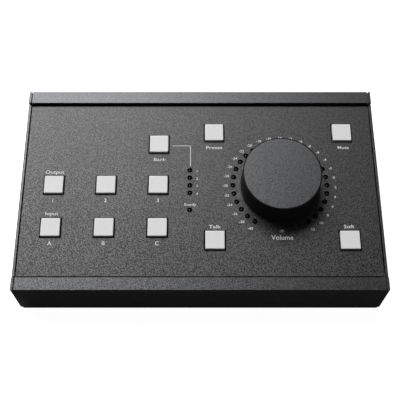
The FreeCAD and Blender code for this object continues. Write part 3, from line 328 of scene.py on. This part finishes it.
KEY_COLUMNS = (-87.65, -56.35, -25.05)
printed("key_marks", [
    *((mark, x, -9.9, 2.2, 1.0) for mark, x in zip("123", KEY_COLUMNS)),
    *((mark, x, -37.25, 2.3, 1.05) for mark, x in zip("ABC", KEY_COLUMNS))])
BANK_LIGHTS, LIGHT_PITCH = 4, 5.0
printed("light_numbers", [
    (str(number + 1), -1.75, 9.45 - LIGHT_PITCH * number, SMALL_HEIGHT, SMALL_WIDEN)
    for number in range(BANK_LIGHTS)])
printed("words", [
    ("Output", -87.8, 8.8, 2.0, 1.3), ("Input", -87.7, -18.5, 2.0, 1.3),
    ("Bank", -24.6, 17.3, 2.0, 1.3), ("Ready", -5.9, -12.6, 1.6, 1.25),
    ("Preset", 8.6, 25.5, 2.0, 1.35), ("Mute", 87.8, 25.55, 2.0, 1.15),
    ("Talk", 8.6, -26.8, 2.1, 1.3), ("Soft", 87.4, -26.7, 2.1, 1.25),
    ("dB", 47.9, -29.5, 1.6, 1.1), ("Volume", 48.1, -33.6, 2.8, 1.0)])

LINE_LEFT, LINE_RIGHT, LINE_TOP, LINE_END, LINE_WIDTH = -16.65, -5.8, 26.7, 12.7, 0.42
half = LINE_WIDTH / 2
line_outline = np.array([
    [LINE_LEFT, LINE_TOP - half], [LINE_RIGHT - half, LINE_TOP - half], [LINE_RIGHT - half, LINE_END],
    [LINE_RIGHT + half, LINE_END], [LINE_RIGHT + half, LINE_TOP + half], [LINE_LEFT, LINE_TOP + half]])


def ring_faces(levels, count, start=0, joined=False):
    """Quads between successive rings of points; the first and last ring are closed with one flat
    face each, or joined to each other. Rings run anticlockwise seen from the side they climb to."""
    lower, place = np.meshgrid(np.arange(levels if joined else levels - 1), np.arange(count),
                               indexing="ij")
    upper, after = (lower + 1) % levels, (place + 1) % count
    quads = np.stack([lower * count + place, lower * count + after,
                      upper * count + after, upper * count + place], -1).reshape(-1, 4) + start
    faces = quads.tolist()
    if not joined:
        faces.append(list(range(start + count - 1, start - 1, -1)))
        faces.append(list(range(start + (levels - 1) * count, start + levels * count)))
    return faces


line_points = np.stack([np.column_stack([line_outline, np.full(len(line_outline), height)])
                        for height in (INK_LIFT, INK_LIFT + INK_THICKNESS)])
new_piece("bank_line", on_panel(line_points.reshape(-1, 3)), ring_faces(2, len(line_outline)),
          "housing", ink)


# ---------------------------------------------------------------- keys
# Eleven square caps: an off-white shell with a fine satin skin over a foot with the flange that holds it
# under the panel. The foot is black as painted shade for the dark gap round each cap. Each presses
# the plunger of its switch.

ROW_PITCH, CORNER_KEY_X, CORNER_KEY_Y = 27.5, 39.35, 35.5
KEYS = {**{key: (x, 0.0) for key, x in zip("123", KEY_COLUMNS)},
        **{key: (x, -ROW_PITCH) for key, x in zip("abc", KEY_COLUMNS)},
        "bank": (KEY_COLUMNS[2], ROW_PITCH), "preset": (KNOB_X - CORNER_KEY_X, CORNER_KEY_Y),
        "mute": (KNOB_X + CORNER_KEY_X, CORNER_KEY_Y), "talk": (KNOB_X - CORNER_KEY_X, -CORNER_KEY_Y),
        "soften": (KNOB_X + CORNER_KEY_X, -CORNER_KEY_Y)}
CAP_HALF, CAP_TOP, CAP_WALL = 5.625, 1.5, 1.3
FLANGE_HALF, FLANGE_TOP, FLANGE_BOTTOM = 7.1, -1.8, -2.8
# The white shell ends at this height, and the black foot's painted shade begins there.
PAINTED_SHADE_TOP, PAINTED_SHADE_BANDS = -0.9, 5
CORNER_RADIUS, INNER_CORNER, FACE_CORNER = 0.45, 0.3, 0.2
EDGE_RADIUS, CORNER_SHRINK, FACE_DISH = 0.25, 0.8, 0.04
CORNER_STEPS, EDGE_STEPS = 6, 5


def rounded_square(half_side, radius):
    """A square's outline with quarter-circle corners, anticlockwise: each corner is an arc of the
    given radius about a centre set in by that radius from both sides."""
    turn = np.linspace(0, math.pi / 2, CORNER_STEPS)
    angles = (np.arange(4)[:, None] * math.pi / 2 + turn).ravel()
    centre = half_side - radius
    signs = np.repeat(np.array([[1, 1], [-1, 1], [-1, -1], [1, -1]]), CORNER_STEPS, axis=0)
    return centre * signs + radius * np.column_stack([np.cos(angles), np.sin(angles)])


def cap_rings():
    """The cap's rings from the roof inside, down the inner wall, out round the flange, and up the
    outer wall over a quarter-round edge to the face. The face dishes toward its middle by one less
    the square of the share of the way out, times the dish."""
    levels = [(CAP_HALF - CAP_WALL, INNER_CORNER, CAP_TOP - CAP_WALL),
              (CAP_HALF - CAP_WALL, INNER_CORNER, FLANGE_BOTTOM),
              (FLANGE_HALF, INNER_CORNER, FLANGE_BOTTOM), (FLANGE_HALF, INNER_CORNER, FLANGE_TOP),
              (CAP_HALF, CORNER_RADIUS, FLANGE_TOP), (CAP_HALF, CORNER_RADIUS, PAINTED_SHADE_TOP)]
    turn = np.linspace(0, math.pi / 2, EDGE_STEPS)
    edge_half = CAP_HALF - EDGE_RADIUS * (1 - np.cos(turn))
    edge_top = CAP_TOP - EDGE_RADIUS * (1 - np.sin(turn))
    levels += list(zip(edge_half, CORNER_RADIUS - (CAP_HALF - edge_half) * CORNER_SHRINK, edge_top))
    for share in (0.85, 0.6, 0.3):
        levels.append(((CAP_HALF - EDGE_RADIUS) * share, FACE_CORNER * share,
                       CAP_TOP - FACE_DISH * (1 - share**2)))
    return np.stack([np.column_stack([rounded_square(half_side, radius),
                                      np.full(4 * CORNER_STEPS, height)])
                     for half_side, radius, height in levels])


cap_plastic = grained_material("satin_white_plastic", (0.765, 0.765, 0.76), (0.815, 0.815, 0.81),
                               roughness=0.5, grain_size=0.0003, relief=0.000008,
                               patch_size=0.01, roughness_swing=0.08)
# The foot's black colour is painted shade for the dark gap round each cap.
painted_shade_foot = grained_material("key_foot_painted_shade", (0.004, 0.004, 0.004), (0.008, 0.008, 0.008),
                                roughness=0.7, grain_size=0.0003, relief=0.00001, specular=0.15)
cap_levels = cap_rings()
cap_faces = ring_faces(len(cap_levels), 4 * CORNER_STEPS)
face_numbers = np.arange(len(cap_faces))
in_painted_shade = (face_numbers // (4 * CORNER_STEPS) < PAINTED_SHADE_BANDS) | (face_numbers == len(cap_faces) - 2)
for key, (key_x, key_y) in KEYS.items():
    cap = new_piece(f"key_top_{key}", on_panel((cap_levels + (key_x, key_y, 0)).reshape(-1, 3)),
                    cap_faces, f"key_{key}", cap_plastic, smooth_angle=40,
                    under=(painted_shade_foot, in_painted_shade))
    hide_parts(f"key_cap_{key}")

plunger_plastic = grained_material("natural_acetal", (0.72, 0.71, 0.68), (0.80, 0.79, 0.76),
                                   roughness=0.4, grain_size=0.0004, relief=0.000005)
dress(plunger_plastic, *(f"key_plunger_{key}" for key in KEYS))
switch_plastic = grained_material("switch_housing_plastic", (0.018, 0.018, 0.020), (0.034, 0.034, 0.036),
                                  roughness=0.55, grain_size=0.0003, relief=0.00001)
dress(switch_plastic, "key_switches", "encoder_body")


# ---------------------------------------------------------------- level lights
# Thirty-two unlit indicators behind the panel's holes: a light guide carries a small domed lens up into
# each hole from the light source on the board below it, and a sleeve lines each hole. Lens, guide and
# sleeve are near black as painted shade of the deep holes.

LENS_RADIUS, LENS_FOOT, LENS_TOP = 0.95, -0.92, -0.3
LENS_STEPS, LENS_SIDES = 6, 24
HOLE_RADIUS, SLEEVE_BORE, SLEEVE_FOOT, SLEEVE_TOP, SLEEVE_BEVEL = 1.59, 1.40, -1.48, -0.03, 0.1
# Lens, guide and sleeve are near black as painted shade inside the deep holes; the lens keeps its real
# gloss.
lens_painted_shade = grained_material("lens_painted_shade", (0.003, 0.003, 0.003), (0.005, 0.005, 0.005),
                               roughness=0.22, grain_size=0.0006, relief=0.000002, specular=0.3)
guide_painted_shade = grained_material("light_guide_painted_shade", (0.002, 0.002, 0.002), (0.005, 0.005, 0.005),
                                roughness=0.7, grain_size=0.0006, relief=0.000004, specular=0.05)
sleeve_painted_shade = grained_material("light_sleeve_painted_shade", (0.002, 0.002, 0.002), (0.004, 0.004, 0.004),
                                roughness=0.85, grain_size=0.0003, relief=0.00001, specular=0.05)


def dome_rings(centre_x, centre_y):
    """Rings of a shallow dome: the radius falls with the sine, and the height climbs with the
    cosine, of an angle that runs from the foot to just short of the crown."""
    angle = np.linspace(math.pi / 2, math.pi / 24, LENS_STEPS)
    around = np.linspace(0, 2 * math.pi, LENS_SIDES, endpoint=False)
    radius = LENS_RADIUS * np.sin(angle)[:, None]
    height = LENS_FOOT + (LENS_TOP - LENS_FOOT) * np.cos(angle)[:, None]
    return np.stack([centre_x + radius * np.cos(around), centre_y + radius * np.sin(around),
                     np.broadcast_to(height, (LENS_STEPS, LENS_SIDES))], -1)


def sleeve_rings(centre_x, centre_y):
    """Rings of a short tube that lines a hole: up its outside, over its bevelled end to its bore."""
    around = np.linspace(0, 2 * math.pi, LENS_SIDES, endpoint=False)
    section = np.array([(SLEEVE_BORE, SLEEVE_FOOT), (HOLE_RADIUS, SLEEVE_FOOT),
                        (HOLE_RADIUS, SLEEVE_TOP), (SLEEVE_BORE, SLEEVE_TOP - SLEEVE_BEVEL)])
    return np.stack([centre_x + section[:, :1] * np.cos(around),
                     centre_y + section[:, :1] * np.sin(around),
                     np.broadcast_to(section[:, 1:], (len(section), LENS_SIDES))], -1)


def light_piece(name, rings, joined, material):
    """Adds one piece of a ring form repeated at each light of a group."""
    forms = np.stack(rings)
    count, levels = forms.shape[:2]
    faces = sum((ring_faces(levels, LENS_SIDES, number * levels * LENS_SIDES, joined)
                 for number in range(count)), [])
    new_piece(name, on_panel(forms.reshape(-1, 3)), faces, "housing", material,
              smooth_angle=35)


LIGHT_RING, LIGHT_COLUMN, BANK_TOP, READY_Y = 28.3, -6.1, 10.0, -16.1
LIGHTS = {"level": [(KNOB_X + LIGHT_RING * math.cos(angle), LIGHT_RING * math.sin(angle))
                    for angle in level_angles],
          "bank": [(LIGHT_COLUMN, BANK_TOP - LIGHT_PITCH * number) for number in range(BANK_LIGHTS)],
          "ready": [(LIGHT_COLUMN, READY_Y)]}
for lights, centres in LIGHTS.items():
    light_piece(f"{lights}_lenses", [dome_rings(x, y) for x, y in centres], False, lens_painted_shade)
    light_piece(f"{lights}_sleeves", [sleeve_rings(x, y) for x, y in centres], True, sleeve_painted_shade)
dress(guide_painted_shade, "ring_light_guide", "column_light_guide", "status_light_guide")
led_epoxy = grained_material("clear_epoxy", (0.55, 0.52, 0.40), (0.62, 0.60, 0.50), roughness=0.15,
                             grain_size=0.0005, relief=0.000004)
dress(led_epoxy, "indicator_leds")


# ---------------------------------------------------------------- encoder
# The rotary encoder stands on the board. Its nickel plated bush comes through the panel and is
# clamped by a nut under the knob, and its turned steel shaft carries the knob.

nickel_plate = grained_material("nickel_plate", (0.58, 0.56, 0.52), (0.68, 0.66, 0.62), roughness=0.28,
                                grain_size=0.0003, relief=0.000003, metallic=1.0)
dress(nickel_plate, "encoder_bush", "encoder_nut")
turned_steel = grained_material("turned_steel", (0.52, 0.52, 0.53), (0.64, 0.64, 0.65), roughness=0.3,
                                grain_size=0.0002, relief=0.000004, metallic=1.0)
dress(turned_steel, "encoder_shaft")


# ---------------------------------------------------------------- knob
# A turned aluminium knob with a gently tapering skirt, anodised a smooth half-gloss black. A
# thin disc with a fine textured coat is let into its top, and a brass collet grips the shaft.

KNOB_SIDES = 160
KNOB_BORE, HUB_RADIUS, HUB_FOOT, HOLLOW_RADIUS, HOLLOW_ROOF = 4.5, 6.5, 5.0, 21.2, 13.8
SKIRT_FOOT, SKIRT_MIDDLE, SKIRT_TOP = (23.65, 0.7), (23.5, 8.9), (23.1, 17.2)
FOOT_ROUND, RIM_ROUND = 0.25, 0.35
RECESS_RADIUS, RECESS_FLOOR = 22.5, 16.3


def knob_outline():
    """Radius and height of the turned section, anticlockwise from the collet's bore: the hub, the
    hollow, the foot with its small round, the taper, the rim's round and the recess. Each round is
    a circle's arc: its radius times the cosine and sine of an even turn."""
    foot_radius, foot_height = SKIRT_FOOT
    top_radius, top_height = SKIRT_TOP
    inside = [(KNOB_BORE, HUB_FOOT), (HUB_RADIUS, HUB_FOOT), (HUB_RADIUS, HOLLOW_ROOF),
              (HOLLOW_RADIUS, HOLLOW_ROOF), (HOLLOW_RADIUS, foot_height + FOOT_ROUND),
              (HOLLOW_RADIUS + FOOT_ROUND, foot_height), SKIRT_FOOT]
    foot = [(foot_radius + FOOT_ROUND * math.sin(turn), foot_height + FOOT_ROUND * (1 - math.cos(turn)))
            for turn in np.linspace(0.3, 1.5, 4)]
    rim = [(top_radius - RIM_ROUND * (1 - math.cos(turn)), top_height - RIM_ROUND * (1 - math.sin(turn)))
           for turn in np.linspace(0.03, math.pi / 2, 6)]
    recess = [(RECESS_RADIUS, top_height), (RECESS_RADIUS, RECESS_FLOOR), (KNOB_BORE, RECESS_FLOOR)]
    return np.array([*inside, *foot, SKIRT_MIDDLE, *rim, *recess])


def turned_points(outline, sides):
    """Carries a section of radius and height round the knob's axis in equal steps."""
    around = np.linspace(0, 2 * math.pi, sides, endpoint=False)
    radius, height = outline[:, :1], outline[:, 1:]
    return np.stack([KNOB_X + radius * np.cos(around), radius * np.sin(around),
                     np.broadcast_to(height, (len(outline), sides))], -1)


black_anodised = grained_material("half_gloss_black_anodised", (0.008, 0.008, 0.0085),
                                  (0.012, 0.012, 0.0125), roughness=0.5, grain_size=0.0003,
                                  relief=0.000004, patch_size=0.02, roughness_swing=0.04,
                                  specular=0.12)
knob_section = knob_outline()
skirt = new_piece("knob_skirt", on_panel(turned_points(knob_section, KNOB_SIDES).reshape(-1, 3)),
                  ring_faces(len(knob_section), KNOB_SIDES, joined=True), "knob",
                  black_anodised, smooth_angle=30)
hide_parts("knob_body")

disc_coat = grained_material("fine_textured_coat", (0.0335, 0.034, 0.0352), (0.0992, 0.1005, 0.1040),
                             roughness=0.375, grain_size=0.0006, relief=0.00004, patch_size=0.03,
                             roughness_swing=0.02, specular=0.9, metallic=0.9)
DISC_PROFILE = np.array([(22.42, RECESS_FLOOR), (22.42, 17.02), (22.35, 17.09), (22.2, 17.1),
                         (22.1, 17.1)])
disc = new_piece("knob_top", on_panel(turned_points(DISC_PROFILE, KNOB_SIDES).reshape(-1, 3)),
                 ring_faces(len(DISC_PROFILE), KNOB_SIDES), "knob", disc_coat,
                 smooth_angle=30)
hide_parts("knob_disc")
brass = grained_material("turned_brass", (0.62, 0.46, 0.20), (0.74, 0.58, 0.28), roughness=0.3,
                         grain_size=0.0003, relief=0.000004, metallic=1.0)
dress(brass, "knob_collet", "board_pillars")


# ---------------------------------------------------------------- circuit board
# A glass-fibre board under green solder mask carries the switches, the encoder, the lights and
# one controller chip in black moulded epoxy.

solder_mask = grained_material("green_solder_mask", (0.010, 0.075, 0.030), (0.016, 0.11, 0.045),
                               roughness=0.35, grain_size=0.0009, relief=0.00001)
dress(solder_mask, "main_board")
chip_epoxy = grained_material("black_epoxy", (0.014, 0.014, 0.014), (0.026, 0.026, 0.026), roughness=0.6,
                              grain_size=0.0002, relief=0.00001)
dress(chip_epoxy, "controller_chip")


# ---------------------------------------------------------------- rear socket
# The eight-way socket for the lead to the monitors, moulded in black plastic, with gilt contacts.
# It hangs under the board, and its face stands in a cut-out of the rear rail.

socket_plastic = grained_material("black_socket_plastic", (0.014, 0.014, 0.015), (0.026, 0.026, 0.027),
                                  roughness=0.42, grain_size=0.0004, relief=0.00001, edge=0.0002)
dress(socket_plastic, "link_socket")
gilt = grained_material("gilt_contacts", (0.80, 0.58, 0.22), (0.90, 0.68, 0.30), roughness=0.22,
                        grain_size=0.0003, relief=0.000002, metallic=1.0)
dress(gilt, "socket_contacts")


# ---------------------------------------------------------------- floor, world and lamp
# A pale floor that looks white to the camera and keeps the shadow. In reflections only, the floor
# before the case is painted shade: an even dark grey with a faint even glow. The world is dim and grows
# paler toward the horizon in reflections. One large far lamp shines from high behind and to the left.

FLOOR_HALF = 6.0
FLOOR_GREY, FLOOR_WHITE, FLOOR_GLOW, FLOOR_ROUGHNESS = (0.37, 0.37, 0.37), (0.8, 0.8, 0.8), 0.95, 0.9
PAINTED_SHADE_GREY, PAINTED_SHADE_GLOW = (0.01, 0.01, 0.01), (0.037, 0.037, 0.037)
PAINTED_SHADE_START, PAINTED_SHADE_FULL = -0.064, -0.07
floor_mesh = bpy.data.meshes.new("floor")
floor_mesh.from_pydata([(-FLOOR_HALF, -FLOOR_HALF, 0), (FLOOR_HALF, -FLOOR_HALF, 0),
                        (FLOOR_HALF, FLOOR_HALF, 0), (-FLOOR_HALF, FLOOR_HALF, 0)], [], [(0, 1, 2, 3)])
floor = bpy.data.objects.new("floor", floor_mesh)
bpy.context.scene.collection.objects.link(floor)
floor_paint, floor_shader = new_material("pale_floor", FLOOR_GREY, FLOOR_ROUGHNESS, specular=0.0)
floor_mesh.materials.append(floor_paint)
floor_tree = floor_paint.node_tree
seen_floor = floor_tree.nodes.new("ShaderNodeBsdfPrincipled")
seen_floor.inputs["Base Color"].default_value = (*FLOOR_WHITE, 1)
seen_floor.inputs["Roughness"].default_value = FLOOR_ROUGHNESS
seen_floor.inputs["Specular IOR Level"].default_value = 0.0
seen_floor.inputs["Emission Color"].default_value = (1, 1, 1, 1)
seen_floor.inputs["Emission Strength"].default_value = FLOOR_GLOW
floor_rays = floor_tree.nodes.new("ShaderNodeLightPath")
floor_axes = floor_tree.nodes.new("ShaderNodeSeparateXYZ")
floor_tree.links.new(floor_tree.nodes.new("ShaderNodeTexCoord").outputs["Object"],
                     floor_axes.inputs["Vector"])
# Painted shade: in reflections only, the floor before the case turns an even dark grey with a faint glow.
painted_shade_before_case = maths(floor_tree, "MULTIPLY", floor_rays.outputs["Is Glossy Ray"],
                    spread(floor_tree, floor_axes.outputs["Y"], PAINTED_SHADE_START, PAINTED_SHADE_FULL))
floor_tree.links.new(mix_colours(floor_tree, painted_shade_before_case, FLOOR_GREY, PAINTED_SHADE_GREY),
                     floor_shader.inputs["Base Color"])
floor_tree.links.new(mix_colours(floor_tree, painted_shade_before_case, (0.0, 0.0, 0.0), PAINTED_SHADE_GLOW),
                     floor_shader.inputs["Emission Color"])
floor_shader.inputs["Emission Strength"].default_value = 1.0
seen_directly = maths(floor_tree, "MAXIMUM", floor_rays.outputs["Is Camera Ray"],
                      floor_rays.outputs["Is Transmission Ray"])
floor_mix = floor_tree.nodes.new("ShaderNodeMixShader")
floor_tree.links.new(seen_directly, floor_mix.inputs["Fac"])
floor_tree.links.new(floor_shader.outputs["BSDF"], floor_mix.inputs[1])
floor_tree.links.new(seen_floor.outputs["BSDF"], floor_mix.inputs[2])
floor_tree.links.new(floor_mix.outputs["Shader"], floor_tree.nodes["Material Output"].inputs["Surface"])

OVERHEAD_GREY, HORIZON_GREY = (0.05, 0.05, 0.052), (0.55, 0.55, 0.55)
OVERHEAD_HEIGHT, HORIZON_HEIGHT = 0.8, 0.3
world = bpy.data.worlds.new("studio")
bpy.context.scene.world = world
world.use_nodes = True
world_tree = world.node_tree
sky = world_tree.nodes["Background"]
world_rays = world_tree.nodes.new("ShaderNodeLightPath")
white_backdrop = maths(world_tree, "MAXIMUM", world_rays.outputs["Is Camera Ray"],
                       world_rays.outputs["Is Transmission Ray"])
sky_axes = world_tree.nodes.new("ShaderNodeSeparateXYZ")
world_tree.links.new(world_tree.nodes.new("ShaderNodeTexCoord").outputs["Generated"],
                     sky_axes.inputs["Vector"])
pale_walls = maths(world_tree, "MULTIPLY", world_rays.outputs["Is Glossy Ray"],
                   spread(world_tree, sky_axes.outputs["Z"], OVERHEAD_HEIGHT, HORIZON_HEIGHT))
surroundings = mix_colours(world_tree, pale_walls, OVERHEAD_GREY, HORIZON_GREY)
world_tree.links.new(mix_colours(world_tree, white_backdrop, surroundings, (1, 1, 1)),
                     sky.inputs["Color"])


def lamp(name, power, size, place, target):
    """Adds a square area lamp at a place, turned to face its target: tilted by the angle between
    down and the way to the target, and swung round to that way."""
    light = bpy.data.lights.new(name, "AREA")
    light.energy, light.size = power, size
    holder = bpy.data.objects.new(name, light)
    bpy.context.scene.collection.objects.link(holder)
    away = np.array(target) - np.array(place)
    holder.location = place
    holder.rotation_euler = (math.acos(-away[2] / np.linalg.norm(away)), 0,
                             math.atan2(away[1], away[0]) - math.pi / 2)


lamp("key_lamp", power=153.0, size=2.4, place=(-1.138, 2.075, 2.893), target=(0.0, 0.0, 0.03))


# ---------------------------------------------------------------- camera
# Looks down from the front, 64 degrees below level, through a short telephoto lens, and is centred
# on the case from side to side.

CAMERA_LENS, CAMERA_SENSOR = 70.56, 36.0
CAMERA_PLACE, CAMERA_TILT = (0.0, -0.21292, 0.45406), math.radians(25.943)
camera_data = bpy.data.cameras.new("camera")
camera_data.lens, camera_data.sensor_width = CAMERA_LENS, CAMERA_SENSOR
camera = bpy.data.objects.new("camera", camera_data)
bpy.context.scene.collection.objects.link(camera)
camera.location = CAMERA_PLACE
camera.rotation_euler = (CAMERA_TILT, 0, 0)
bpy.context.scene.camera = camera
bpy.context.scene.view_settings.view_transform = "Standard"
